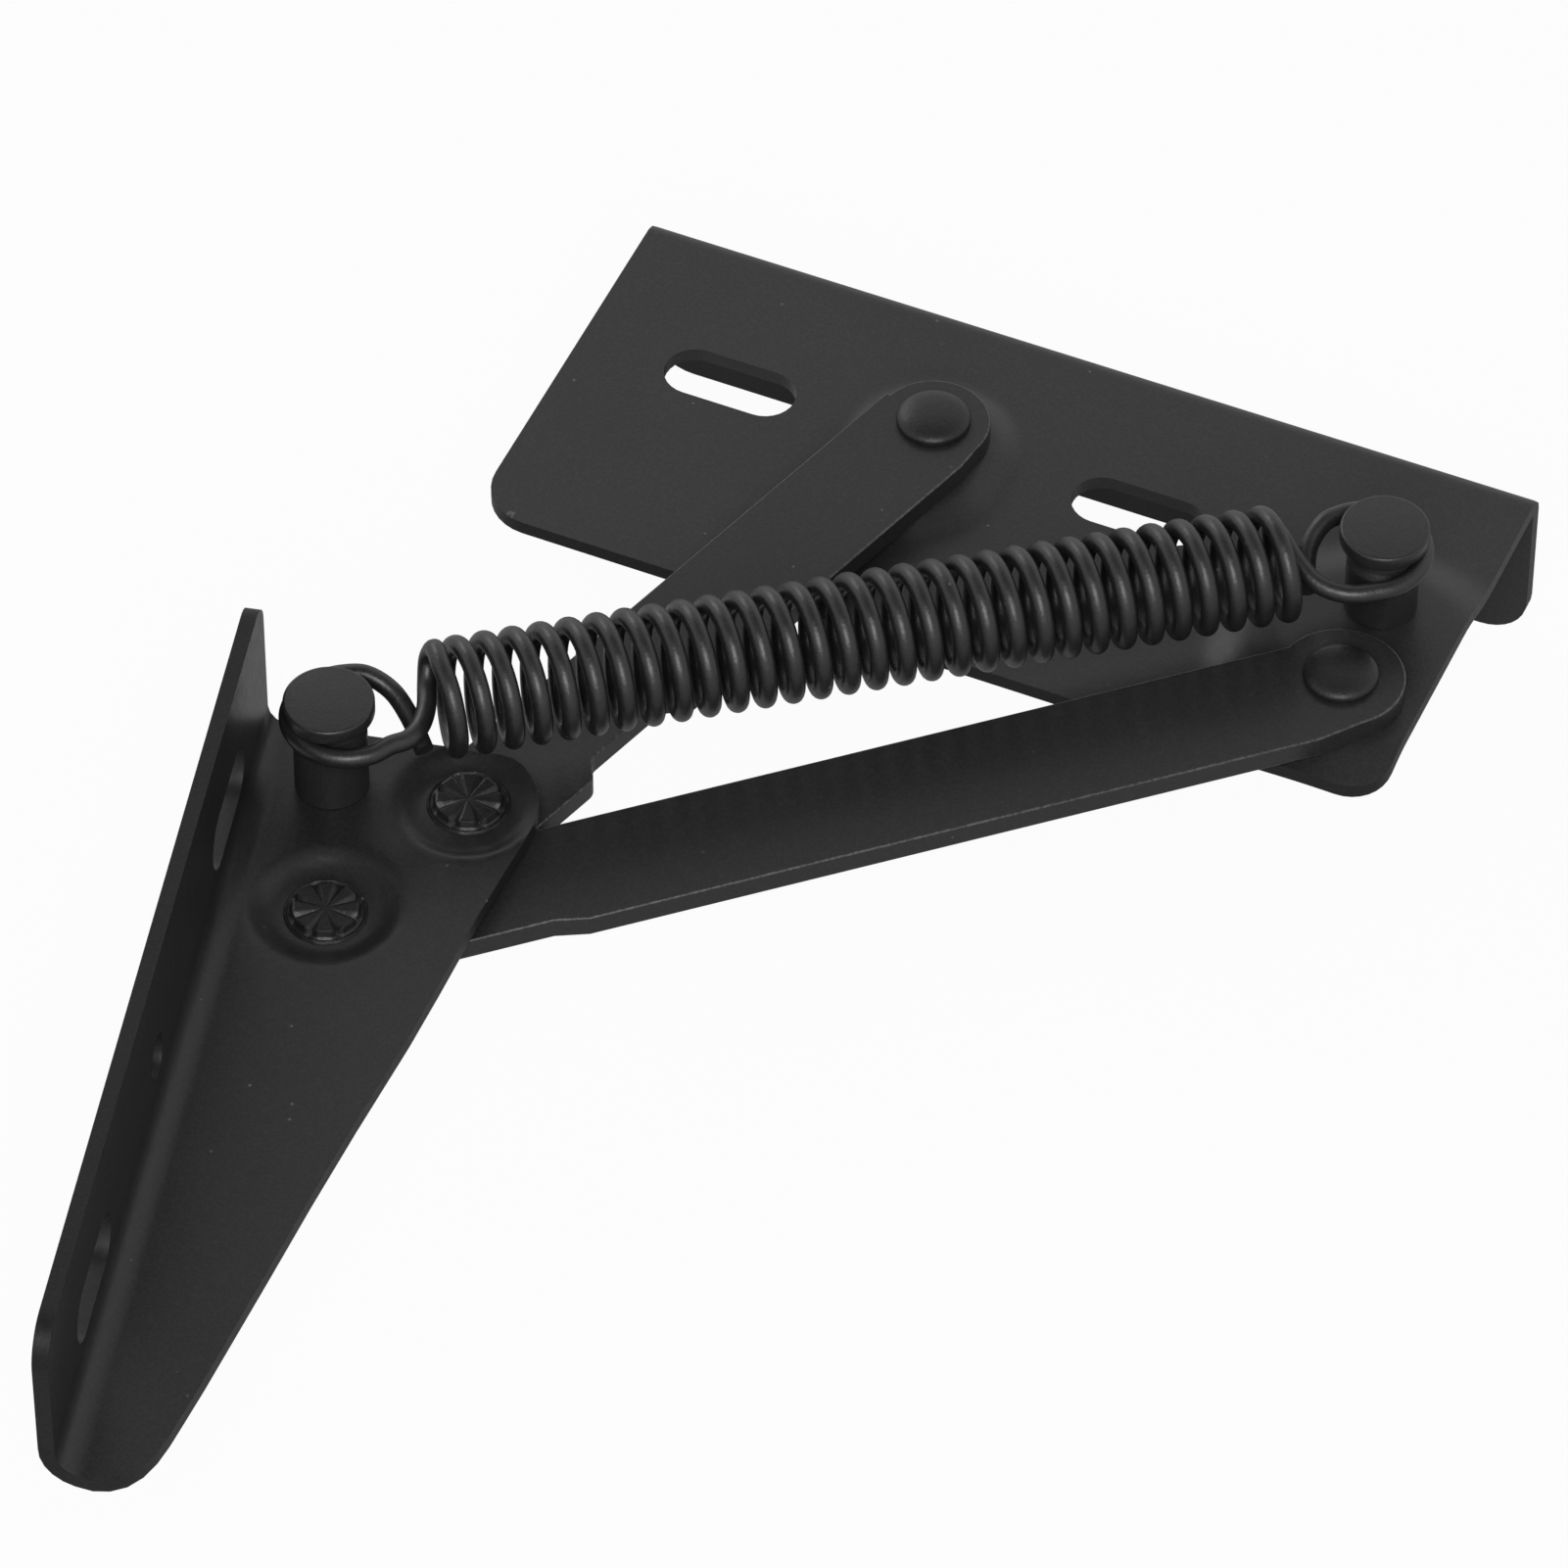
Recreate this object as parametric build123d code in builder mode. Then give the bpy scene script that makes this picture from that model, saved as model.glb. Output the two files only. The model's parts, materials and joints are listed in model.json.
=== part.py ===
from build123d import *
import os
from math import cos, pi, radians, sin, sqrt

# Folding bed hinge, drawn in its open position.
# Millimetres. The origin is pivot A, in the middle of the two base slots.
# +X runs along the base plate, +Y towards its folded lip, +Z out of the plate.

# sheet metal
sheet = 1.6
bend_inside = 1.0
emboss_height = 1.3
emboss_slope = 42.0
axial_play = 0.05

# base bracket
base_left = -40.0
base_right = 60.0
base_near = -27.0
base_lip_face = 19.0
base_lip_drop = 20.0
base_corner = 5.5
lip_corner = 5.0
boss_a_width = 16.0
boss_a_stretch = 5.0
boss_a_shift = 2.5
boss_b_radius = 14.3
boss_b_middle = (52.0, -10.6)
boss_b_edge = 0.3

# mounting slots of both brackets
slot_length = 14.5
slot_width = 6.5
base_slot_spacing = 46.0
flange_slot_near_end = 18.0
flange_slot_far_end = 79.0
flange_slot_drop = 11.6
flange_hole_along = 51.0
flange_hole_diameter = 5.0

# pivots on the base and on the lid
pivot_a = (0.0, 0.0)
pivot_b = (51.8, -16.4)
pivot_d = (-27.9, -87.9)
lid_turn = 13.5
lid_length = 98.3
lid_flange_height = 20.0
lid_tail_run = 9.1
lid_tail_across = 13.1
lid_tail_tip = 6.3
flange_corner = 4.0
dimple_c_radius = 7.0
dimple_c_shift = 1.2
dimple_d_radius = 7.4
lid_d_along, lid_d_across = 22.8, 12.15
lid_c_along, lid_c_across = 6.04, 23.21
lid_post_along, lid_post_across = 6.8, 9.5
base_post = (51.0, -3.2)

# arms
arm_thickness = 2.5
short_half_width = 6.35
short_a_end_radius = 5.9
short_a_end_run = 3.0
long_far_edge = 5.5
long_near_edge = 7.45
long_near_edge_end = 6.6
long_b_end_radius = 6.6
long_b_end_run = 5.0
long_step_start, long_step_end = 82.0, 85.5
stop_clearance = 0.05
nest_start, nest_end, nest_depth = 45.5, 60.5, 2.1
nest_fillet = 1.5

# rivets
shank_diameter = 5.0
turning_clearance = 0.1
rivet_head_diameter = 7.7
rivet_head_height = 1.5
rivet_head_rim = 0.4
star_radius = 3.5
star_root_radius = 2.8
star_foot_radius = 4.3
star_height = 1.0
star_points = 8

# spring posts
post_stem_diameter = 7.5
post_neck_diameter = 6.0
post_head_diameter = 9.2
post_head_height = 1.75
post_head_edge = 0.55
post_groove_width = 2.0
post_tail_diameter = 8.0
base_ring_level = 11.5
lid_ring_level = 17.9

# tension spring
wire_diameter = 1.8
wire_sides = 6
coil_diameter = 11.8
coil_pitch = 2.87
coil_turns = 30
turn_steps = 10
ring_outer_diameter = 13.5
ring_clearance = 0.02
ring_step = 24
base_lead_angle = 60
lid_lead_angle = 36
ring_end_angle = 300

# levels through the stack of plates
boss_top = sheet + emboss_height
arm_bottom = boss_top + axial_play
arm_top = arm_bottom + arm_thickness
dimple_floor = arm_top + axial_play
lid_bottom = dimple_floor + emboss_height
lid_top = lid_bottom + sheet
dimple_floor_top = dimple_floor + sheet

# directions in plan
turn = radians(lid_turn)
lid_along = Vector(sin(turn), -cos(turn), 0)
lid_across = Vector(cos(turn), sin(turn), 0)
point_a = Vector(*pivot_a, 0)
point_b = Vector(*pivot_b, 0)
point_d = Vector(*pivot_d, 0)
lid_corner = point_d - lid_along * lid_d_along - lid_across * lid_d_across
point_c = lid_corner + lid_along * lid_c_along + lid_across * lid_c_across
lid_post = lid_corner + lid_along * lid_post_along + lid_across * lid_post_across
short_direction = (point_c - point_a).normalized()
short_length = (point_c - point_a).length
long_direction = (point_d - point_b).normalized()
long_length = (point_d - point_b).length


def flat_plane(origin, along, level):
    """A plane parallel to the plates, its X running along the given direction."""
    return Plane(origin=(origin.X, origin.Y, level), x_dir=along, z_dir=(0, 0, 1))


# Base bracket: a folded angle, embossed under each pivot so the arms run clear.
with BuildPart() as base_bracket:
    with BuildSketch(Plane.YZ.offset(base_left)):
        with BuildLine():
            Polyline(
                (base_near, 0),
                (base_near, sheet),
                (base_lip_face, sheet),
                (base_lip_face, sheet - base_lip_drop),
                (base_lip_face - sheet, sheet - base_lip_drop),
                (base_lip_face - sheet, 0),
                close=True,
            )
        make_face()
    extrude(amount=base_right - base_left)
    fold = base_bracket.edges().filter_by(Axis.X)
    fillet(fold.sort_by_distance((0, base_lip_face, sheet))[0], bend_inside + sheet)
    fold = base_bracket.edges().filter_by(Axis.X)
    fillet(fold.sort_by_distance((0, base_lip_face - sheet, 0))[0], bend_inside)
    near_corners = base_bracket.edges().filter_by(Axis.Z).group_by(Axis.Y)[0]
    fillet(near_corners, base_corner)
    lip_corners = base_bracket.edges().filter_by(Axis.Y).group_by(Axis.Z)[0]
    fillet(lip_corners, lip_corner)
    # raised bosses, the same shape pushed up from behind
    for level, mode in ((sheet, Mode.ADD), (0, Mode.SUBTRACT)):
        with BuildSketch(Plane.XY.offset(level)):
            with Locations((pivot_a[0], pivot_a[1] - boss_a_shift)):
                SlotCenterToCenter(boss_a_stretch, boss_a_width, rotation=90)
        extrude(amount=emboss_height, taper=emboss_slope, mode=mode)
        with BuildSketch(Plane.XY.offset(level)):
            with Locations(boss_b_middle):
                Circle(boss_b_radius)
            with Locations((base_right - boss_b_edge, boss_b_middle[1])):
                Rectangle(
                    boss_b_radius,
                    3 * boss_b_radius,
                    align=(Align.MIN, Align.CENTER),
                    mode=Mode.SUBTRACT,
                )
        extrude(amount=emboss_height, taper=emboss_slope, mode=mode)
    # two slots and the rivet and post holes
    with BuildSketch(Plane.XY):
        with GridLocations(base_slot_spacing, 0, 2, 1):
            SlotOverall(slot_length, slot_width)
        with Locations(pivot_a, pivot_b, base_post):
            Circle(shank_diameter / 2)
    extrude(amount=boss_top, mode=Mode.SUBTRACT)
base_bracket.part.label = "base_bracket"

# Lid bracket: a folded angle with a tapered plate, dimpled down onto the arms.
lid_section = Plane(
    origin=(lid_corner.X, lid_corner.Y, 0), x_dir=lid_across, z_dir=lid_along
)
lid_up = 1 if lid_section.y_dir.Z > 0 else -1
flange_top = lid_bottom + lid_flange_height
with BuildPart() as lid_bracket:
    with BuildSketch(lid_section):
        with BuildLine():
            Polyline(
                (0, lid_up * lid_bottom),
                (lid_c_across + 2 * dimple_c_radius, lid_up * lid_bottom),
                (lid_c_across + 2 * dimple_c_radius, lid_up * lid_top),
                (sheet, lid_up * lid_top),
                (sheet, lid_up * flange_top),
                (0, lid_up * flange_top),
                close=True,
            )
        make_face()
    extrude(amount=lid_length)
    fold_point = (lid_corner.X, lid_corner.Y, lid_bottom)
    fold = lid_bracket.edges().filter_by(Axis(origin=(0, 0, 0), direction=lid_along))
    fillet(fold.sort_by_distance(fold_point)[0], bend_inside + sheet)
    inner = lid_corner + lid_across * sheet
    fold = lid_bracket.edges().filter_by(Axis(origin=(0, 0, 0), direction=lid_along))
    fillet(fold.sort_by_distance((inner.X, inner.Y, lid_top))[0], bend_inside)
    # plan outline: round corner by pivot C, long taper, round tail
    with BuildSketch(flat_plane(lid_corner, lid_along, lid_bottom - 1)):
        with BuildLine():
            corner_start = (0, lid_c_across)
            corner_end = (lid_c_along + 2.16, lid_c_across + 8.09)
            taper_end = (lid_length - lid_tail_run, lid_tail_across)
            tail_end = (lid_length - 1.9, -1)
            Line((0, -1), corner_start)
            ThreePointArc(corner_start, (lid_c_along - 3.69, lid_c_across + 5.79), corner_end)
            Spline(
                corner_end,
                (lid_d_along + 8.8, lid_d_across + 13.75),
                taper_end,
                tangents=[(1, -0.12), (0.976, -0.22)],
            )
            Spline(
                taper_end,
                (lid_length - 2.7, lid_tail_across - 2.5),
                (lid_length, lid_tail_tip),
                tail_end,
                tangents=[(0.976, -0.22), (-0.3, -1)],
            )
            Line(tail_end, (0, -1))
        make_face()
    extrude(amount=lid_flange_height + 4, mode=Mode.INTERSECT)
    # dimples at pivots C and D
    for level, mode in ((lid_bottom, Mode.ADD), (lid_top, Mode.SUBTRACT)):
        with BuildSketch(flat_plane(lid_corner, lid_along, level)):
            with Locations((lid_d_along, lid_d_across)):
                Circle(dimple_d_radius)
            with Locations((lid_c_along + dimple_c_shift, lid_c_across)):
                Circle(dimple_c_radius)
        extrude(amount=-emboss_height, taper=emboss_slope, mode=mode)
    # holes for the rivets and the spring post
    with BuildSketch(flat_plane(lid_corner, lid_along, dimple_floor)):
        with Locations((lid_d_along, lid_d_across), (lid_c_along, lid_c_across)):
            Circle(shank_diameter / 2)
        with Locations((lid_post_along, lid_post_across)):
            Circle(shank_diameter / 2)
    extrude(amount=lid_top - dimple_floor, mode=Mode.SUBTRACT)
    # slots and the small hole of the flange
    flange_face = Plane(
        origin=(lid_corner.X, lid_corner.Y, flange_top - flange_slot_drop),
        x_dir=lid_along,
        z_dir=lid_across,
    )
    with BuildSketch(flange_face):
        with Locations((flange_slot_near_end, 0), (flange_slot_far_end, 0)):
            SlotOverall(slot_length, slot_width)
        with Locations((flange_hole_along, 0)):
            Circle(flange_hole_diameter / 2)
    extrude(amount=sheet, mode=Mode.SUBTRACT)
    # rounded upper corners of the flange
    upright = lid_bracket.edges().filter_by(Axis(origin=(0, 0, 0), direction=lid_across))
    fillet(upright.group_by(Axis.Z)[-1], flange_corner)
lid_bracket.part.label = "lid_bracket"

# Short arm: flat bar, cut square at C as the open stop, notched for the long arm.
short_plane = flat_plane(point_a, short_direction, arm_bottom)
stop_point = point_b - Vector(-long_direction.Y, long_direction.X, 0) * (
    long_far_edge + stop_clearance
)
with BuildPart() as short_arm:
    with BuildSketch(short_plane):
        with BuildLine():
            Line((0, -short_half_width), (short_length, -short_half_width))
            ThreePointArc(
                (short_length, -short_half_width),
                (short_length + short_half_width, 0),
                (short_length, short_half_width),
            )
            Polyline(
                (short_length, short_half_width),
                (nest_end, short_half_width),
                (nest_end - nest_depth, short_half_width - nest_depth),
                (nest_start + nest_depth, short_half_width - nest_depth),
                (nest_start, short_half_width),
                (short_a_end_run, short_half_width),
                (0, short_a_end_radius),
            )
            ThreePointArc((0, short_a_end_radius), (-short_a_end_radius, 0), (0, -short_a_end_radius))
            Line((0, -short_a_end_radius), (0, -short_half_width))
        make_face()
        with Locations((0, 0), (short_length, 0)):
            Circle(shank_diameter / 2 + turning_clearance, mode=Mode.SUBTRACT)
    extrude(amount=arm_thickness)
    notch = short_arm.edges().filter_by(Axis.Z).filter_by_position(Axis.X, -100, 100)
    nest_middle = point_a + short_direction * ((nest_start + nest_end) / 2)
    nest_middle += Vector(-short_direction.Y, short_direction.X, 0) * short_half_width
    middle = (nest_middle.X, nest_middle.Y, arm_bottom + arm_thickness / 2)
    fillet(notch.sort_by_distance(middle)[0:4], nest_fillet)
    with BuildSketch(flat_plane(stop_point, long_direction, arm_bottom)):
        with Locations((long_length - 20, 0)):
            Rectangle(60, 20, align=(Align.CENTER, Align.MIN))
    extrude(amount=arm_thickness, mode=Mode.SUBTRACT)
short_arm.part.label = "short_arm"

# Long arm: flat bar from B to D, its outer edge stepping in towards D.
long_plane = flat_plane(point_b, long_direction, arm_bottom)
long_b_corner = sqrt(long_b_end_radius**2 - long_far_edge**2)
long_d_radius = (long_far_edge + long_near_edge_end) / 2
long_d_offset = (long_near_edge_end - long_far_edge) / 2
with BuildPart() as long_arm:
    with BuildSketch(long_plane):
        with BuildLine():
            Line((long_b_corner, -long_far_edge), (long_length, -long_far_edge))
            ThreePointArc(
                (long_length, -long_far_edge),
                (long_length + long_d_radius, long_d_offset),
                (long_length, long_near_edge_end),
            )
            Polyline(
                (long_length, long_near_edge_end),
                (long_step_end, long_near_edge_end),
                (long_step_start, long_near_edge),
                (long_b_end_run, long_near_edge),
                (0, long_b_end_radius),
            )
            ThreePointArc(
                (0, long_b_end_radius),
                (-long_b_end_radius, 0),
                (long_b_corner, -long_far_edge),
            )
        make_face()
        Circle(shank_diameter / 2 + turning_clearance, mode=Mode.SUBTRACT)
        with Locations((long_length, 0)):
            Circle(shank_diameter / 2, mode=Mode.SUBTRACT)
    extrude(amount=arm_thickness)
long_arm.part.label = "long_arm"


def headed_pin(seat, direction, pin_end):
    """Low domed head on its seat level, facing up or down, with a plain shank."""
    half = rivet_head_diameter / 2
    rise = direction * (rivet_head_height - rivet_head_rim)
    rim = seat + direction * rivet_head_rim
    with BuildPart() as pin:
        with BuildSketch(Plane.XZ):
            with BuildLine():
                Polyline(
                    (0, seat + direction * rivet_head_height),
                    (0, pin_end),
                    (shank_diameter / 2, pin_end),
                    (shank_diameter / 2, seat),
                    (half, seat),
                    (half, rim),
                    (half * 0.8, rim + rise * 0.55),
                    (half * 0.4, rim + rise * 0.95),
                    (0, rim + rise),
                )
            make_face()
        revolve(axis=Axis.Z)
    return pin.part


def pressed_star(level, height):
    """Star formed on a rivet tail, wider at its foot, rising by the given height."""
    with BuildPart() as star:
        for rise, outer in ((0, star_foot_radius), (height, star_radius)):
            corners = []
            for step in range(2 * star_points):
                radius = outer if step % 2 == 0 else outer * star_root_radius / star_radius
                angle = radians(step * 180 / star_points)
                corners.append((radius * cos(angle), radius * sin(angle)))
            with BuildSketch(Plane.XY.offset(level + rise)):
                Polygon(*corners, align=None)
        loft(ruled=True)
    return star.part


# Base rivets: domed heads over the arms, star tails inside the hollow bosses.
with BuildPart() as base_rivet:
    add(headed_pin(arm_top + axial_play, 1, emboss_height))
    add(pressed_star(emboss_height, -star_height))
short_arm_base_rivet = base_rivet.part.moved(Location((pivot_a[0], pivot_a[1], 0)))
short_arm_base_rivet.label = "short_arm_base_rivet"
long_arm_base_rivet = base_rivet.part.moved(Location((pivot_b[0], pivot_b[1], 0)))
long_arm_base_rivet.label = "long_arm_base_rivet"

# Lid rivet at C: star tail in the dimple, domed head behind the short arm.
with BuildPart() as lid_rivet:
    add(headed_pin(arm_bottom - axial_play, -1, dimple_floor_top))
    add(pressed_star(dimple_floor_top, star_height))
short_arm_lid_rivet = lid_rivet.part.moved(Location((point_c.X, point_c.Y, 0)))
short_arm_lid_rivet.label = "short_arm_lid_rivet"

# Lid rivet at D, tail half: pressed star and the shank inside the lid plate.
with BuildPart() as rivet_tail:
    with BuildSketch(Plane.XY.offset(dimple_floor)):
        Circle(shank_diameter / 2)
    extrude(amount=sheet)
    add(pressed_star(dimple_floor_top, star_height))
long_arm_lid_rivet_tail = rivet_tail.part.moved(Location((point_d.X, point_d.Y, 0)))
long_arm_lid_rivet_tail.label = "long_arm_lid_rivet_tail"

# Lid rivet at D, head half: domed head and the shank inside the long arm.
long_arm_lid_rivet_head = headed_pin(arm_bottom, -1, arm_top).moved(
    Location((point_d.X, point_d.Y, 0))
)
long_arm_lid_rivet_head.label = "long_arm_lid_rivet_head"


def spring_post(tail_bottom, tail_top, foot, ring_level):
    """Turned post: riveted tail, shank, stem, neck groove and rounded head."""
    groove_bottom = ring_level - post_groove_width / 2
    groove_top = ring_level + post_groove_width / 2
    head_top = groove_top + post_head_height
    with BuildPart() as post:
        with BuildSketch(Plane.XZ):
            with BuildLine():
                Polyline(
                    (0, tail_bottom),
                    (post_tail_diameter / 2 - 0.6, tail_bottom),
                    (post_tail_diameter / 2, tail_top),
                    (shank_diameter / 2, tail_top),
                    (shank_diameter / 2, foot),
                    (post_stem_diameter / 2, foot),
                    (post_stem_diameter / 2, groove_bottom - 0.5),
                    (post_neck_diameter / 2, groove_bottom + 0.25),
                    (post_neck_diameter / 2, groove_top),
                    (post_head_diameter / 2, groove_top),
                    (post_head_diameter / 2, head_top),
                    (0, head_top),
                    close=True,
                )
            make_face()
        revolve(axis=Axis.Z)
        chamfer(post.edges().filter_by(GeomType.CIRCLE).group_by(Axis.Z)[-1], post_head_edge)
    return post.part


base_spring_post = spring_post(
    emboss_height - star_height, emboss_height, boss_top, base_ring_level
).moved(Location((base_post[0], base_post[1], 0)))
base_spring_post.label = "base_spring_post"
lid_spring_post = spring_post(
    lid_bottom - star_height, lid_bottom, lid_top, lid_ring_level
).moved(Location((lid_post.X, lid_post.Y, 0)))
lid_spring_post.label = "lid_spring_post"

# Tension spring: close coil between two end rings hooked behind the post necks.
ring_radius = (ring_outer_diameter - wire_diameter) / 2
coil_radius = (coil_diameter - wire_diameter) / 2
ring_offset = ring_radius - wire_diameter / 2 - post_neck_diameter / 2 - ring_clearance
start = Vector(base_post[0], base_post[1], base_ring_level)
finish = Vector(lid_post.X, lid_post.Y, lid_ring_level)
spring_flat = Vector(finish.X - start.X, finish.Y - start.Y, 0).normalized()
spring_side = Vector(-spring_flat.Y, spring_flat.X, 0)
ring_a = start + spring_flat * ring_offset
ring_b = finish - spring_flat * ring_offset
spring_line = (ring_b - ring_a).normalized()
spring_up = spring_line.cross(spring_side)
coil_length = coil_turns * coil_pitch
coil_start = ((ring_b - ring_a).length - coil_length) / 2
coil_origin = ring_a + spring_line * coil_start


def coil_point(turns):
    """A point on the coil, counted in turns from its first strand's top."""
    turned = 2 * pi * turns
    return (
        coil_origin
        + spring_line * (turns * coil_pitch)
        + spring_up * (coil_radius * cos(turned))
        - spring_side * (coil_radius * sin(turned))
    )


def ring_point(centre, facing, angle):
    """A point on an end ring, measured from the direction facing the coil."""
    turned = radians(angle)
    reach = ring_radius / cos(radians(ring_step / 2))
    return (
        centre
        + spring_flat * (facing * reach * cos(turned))
        + spring_side * (reach * sin(turned))
    )


def by_ring(centre, facing, toward, side, up):
    """A point near an end ring, given towards the coil, to the side and upwards."""
    return centre + spring_flat * (facing * toward) + spring_side * side + Vector(0, 0, up)


# the wire in one run: tucked end, round the base post, the coil, round the lid post
wire_points = [by_ring(ring_a, 1, 6.9, 2.4, -2.3), by_ring(ring_a, 1, 6.3, -0.4, -1.9)]
wire_points.append(by_ring(ring_a, 1, 5.2, -2.9, -1.0))
for angle in range(ring_end_angle, base_lead_angle - 1, -ring_step):
    wire_points.append(ring_point(ring_a, 1, angle))
wire_points.append(by_ring(ring_a, 1, 5.6, 5.0, 0.4))
wire_points.append(by_ring(ring_a, 1, 7.7, 4.2, 2.2))
wire_points.append(by_ring(ring_a, 1, 9.2, 2.4, 4.1))
for step in range(coil_turns * turn_steps + 1):
    wire_points.append(coil_point(step / turn_steps))
wire_points.append(by_ring(ring_b, -1, 9.9, -2.7, 4.1))
wire_points.append(by_ring(ring_b, -1, 9.2, -3.9, 1.8))
wire_points.append(by_ring(ring_b, -1, 8.2, -2.2, 0.2))
wire_points.append(by_ring(ring_b, -1, 7.2, 0.6, 0))
wire_points.append(by_ring(ring_b, -1, 6.0, 2.6, 0))
for angle in range(lid_lead_angle, ring_end_angle + 1, ring_step):
    wire_points.append(ring_point(ring_b, -1, angle))
wire_points.append(by_ring(ring_b, -1, 5.2, -2.9, -1.0))
wire_points.append(by_ring(ring_b, -1, 6.3, -0.2, -2.0))
wire_points.append(by_ring(ring_b, -1, 7.0, 3.6, -2.6))
with BuildPart() as tension_spring:
    with BuildLine() as wire:
        Polyline(*wire_points)
    with BuildSketch(Plane(origin=wire.line @ 0, z_dir=wire.line % 0)) as wire_end:
        RegularPolygon(radius=wire_diameter / 2, side_count=wire_sides)
    sweep(wire_end.sketch, path=wire.line, transition=Transition.RIGHT)
tension_spring.part.label = "tension_spring"

os.makedirs("parts", exist_ok=True)
export_step(base_bracket.part, "parts/base_bracket.step")
export_step(lid_bracket.part, "parts/lid_bracket.step")
export_step(short_arm.part, "parts/short_arm.step")
export_step(long_arm.part, "parts/long_arm.step")
export_step(short_arm_base_rivet, "parts/short_arm_base_rivet.step")
export_step(long_arm_base_rivet, "parts/long_arm_base_rivet.step")
export_step(short_arm_lid_rivet, "parts/short_arm_lid_rivet.step")
export_step(long_arm_lid_rivet_tail, "parts/long_arm_lid_rivet_tail.step")
export_step(long_arm_lid_rivet_head, "parts/long_arm_lid_rivet_head.step")
export_step(base_spring_post, "parts/base_spring_post.step")
export_step(lid_spring_post, "parts/lid_spring_post.step")
export_step(tension_spring.part, "parts/tension_spring.step")
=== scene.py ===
import json
import math

import bmesh
import bpy
import numpy as np
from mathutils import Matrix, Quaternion, Vector
from mathutils.geometry import delaunay_2d_cdt

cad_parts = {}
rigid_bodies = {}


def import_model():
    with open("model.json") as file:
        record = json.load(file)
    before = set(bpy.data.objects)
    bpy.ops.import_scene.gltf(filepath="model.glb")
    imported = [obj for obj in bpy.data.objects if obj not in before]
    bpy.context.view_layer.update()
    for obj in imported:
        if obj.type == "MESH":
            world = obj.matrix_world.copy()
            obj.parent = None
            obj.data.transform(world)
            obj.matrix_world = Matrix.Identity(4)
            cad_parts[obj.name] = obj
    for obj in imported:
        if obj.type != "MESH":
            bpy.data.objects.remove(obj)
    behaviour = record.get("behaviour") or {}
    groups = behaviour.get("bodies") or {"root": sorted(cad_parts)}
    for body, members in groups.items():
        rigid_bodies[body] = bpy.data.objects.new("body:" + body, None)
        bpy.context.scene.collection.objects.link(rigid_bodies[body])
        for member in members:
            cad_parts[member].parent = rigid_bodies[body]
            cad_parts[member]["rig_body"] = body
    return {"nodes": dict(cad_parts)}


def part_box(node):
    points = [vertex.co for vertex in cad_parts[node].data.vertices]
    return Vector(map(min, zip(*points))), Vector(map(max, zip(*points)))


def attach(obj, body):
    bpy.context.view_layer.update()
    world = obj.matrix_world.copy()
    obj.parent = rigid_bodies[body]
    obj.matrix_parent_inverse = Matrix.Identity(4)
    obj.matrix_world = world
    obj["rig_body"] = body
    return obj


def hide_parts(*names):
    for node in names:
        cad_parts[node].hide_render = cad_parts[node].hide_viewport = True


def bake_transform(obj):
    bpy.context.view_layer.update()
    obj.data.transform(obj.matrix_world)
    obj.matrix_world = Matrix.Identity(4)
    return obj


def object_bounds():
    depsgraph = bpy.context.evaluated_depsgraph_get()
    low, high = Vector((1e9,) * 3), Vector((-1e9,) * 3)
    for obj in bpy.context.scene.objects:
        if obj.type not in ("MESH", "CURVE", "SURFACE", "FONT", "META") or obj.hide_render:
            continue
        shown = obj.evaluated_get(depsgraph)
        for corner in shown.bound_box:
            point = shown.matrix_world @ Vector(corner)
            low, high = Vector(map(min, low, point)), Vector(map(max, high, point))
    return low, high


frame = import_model()
cad_box = [list(corner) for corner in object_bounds()]
MM = 0.001

# Camera. A long lens looks down on the open hinge from the near side of the
# base plate, so the plate's long edges stay almost parallel.
look_at = Vector((4.742, -49.374, 1.6)) * MM
camera_turn = math.radians(23.506)
camera_rise = math.radians(47.9015)
camera_tilt = math.radians(0.17)
camera_distance = 1.09007
towards_camera = Vector(
    (
        math.sin(camera_turn) * math.cos(camera_rise),
        -math.cos(camera_turn) * math.cos(camera_rise),
        math.sin(camera_rise),
    )
)
camera_data = bpy.data.cameras.new("studio_camera")
camera_data.sensor_width = 36.0
camera_data.sensor_height = 36.0
camera_data.sensor_fit = "AUTO"
camera_data.lens = 248.5
camera_data.clip_start = 0.05
camera_data.clip_end = 20.0
camera = bpy.data.objects.new("studio_camera", camera_data)
camera.location = look_at + towards_camera * camera_distance
camera.rotation_mode = "QUATERNION"
level_view = (-towards_camera).to_track_quat("-Z", "Y")
camera.rotation_quaternion = level_view @ Quaternion((0, 0, 1), camera_tilt)
bpy.context.scene.collection.objects.link(camera)
bpy.context.scene.camera = camera


# Base bracket. The fixed angle is pressed from 1.6 mm steel strip. Two slots are
# punched, the bosses under the pivots are pushed up and the lip is folded down.
# The whole piece then gets a satin black powder coat.
class Shade:
    """A shader value. Arithmetic on it adds the Math node that does the sum."""

    def __init__(self, tree, socket):
        self.tree = tree
        self.socket = socket

    def sum(self, operation, *values, clamp=False):
        maths = self.tree.nodes.new("ShaderNodeMath")
        maths.operation = operation
        maths.use_clamp = clamp
        for place, value in enumerate(values):
            if isinstance(value, Shade):
                self.tree.links.new(value.socket, maths.inputs[place])
            else:
                maths.inputs[place].default_value = value
        return Shade(self.tree, maths.outputs[0])

    def __add__(self, other):
        return self.sum("ADD", self, other)

    def __radd__(self, other):
        return self.sum("ADD", other, self)

    def __sub__(self, other):
        return self.sum("SUBTRACT", self, other)

    def __rsub__(self, other):
        return self.sum("SUBTRACT", other, self)

    def __mul__(self, other):
        return self.sum("MULTIPLY", self, other)

    def __rmul__(self, other):
        return self.sum("MULTIPLY", other, self)

    def clipped(self):
        return self.sum("ADD", self, 0.0, clamp=True)


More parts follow.
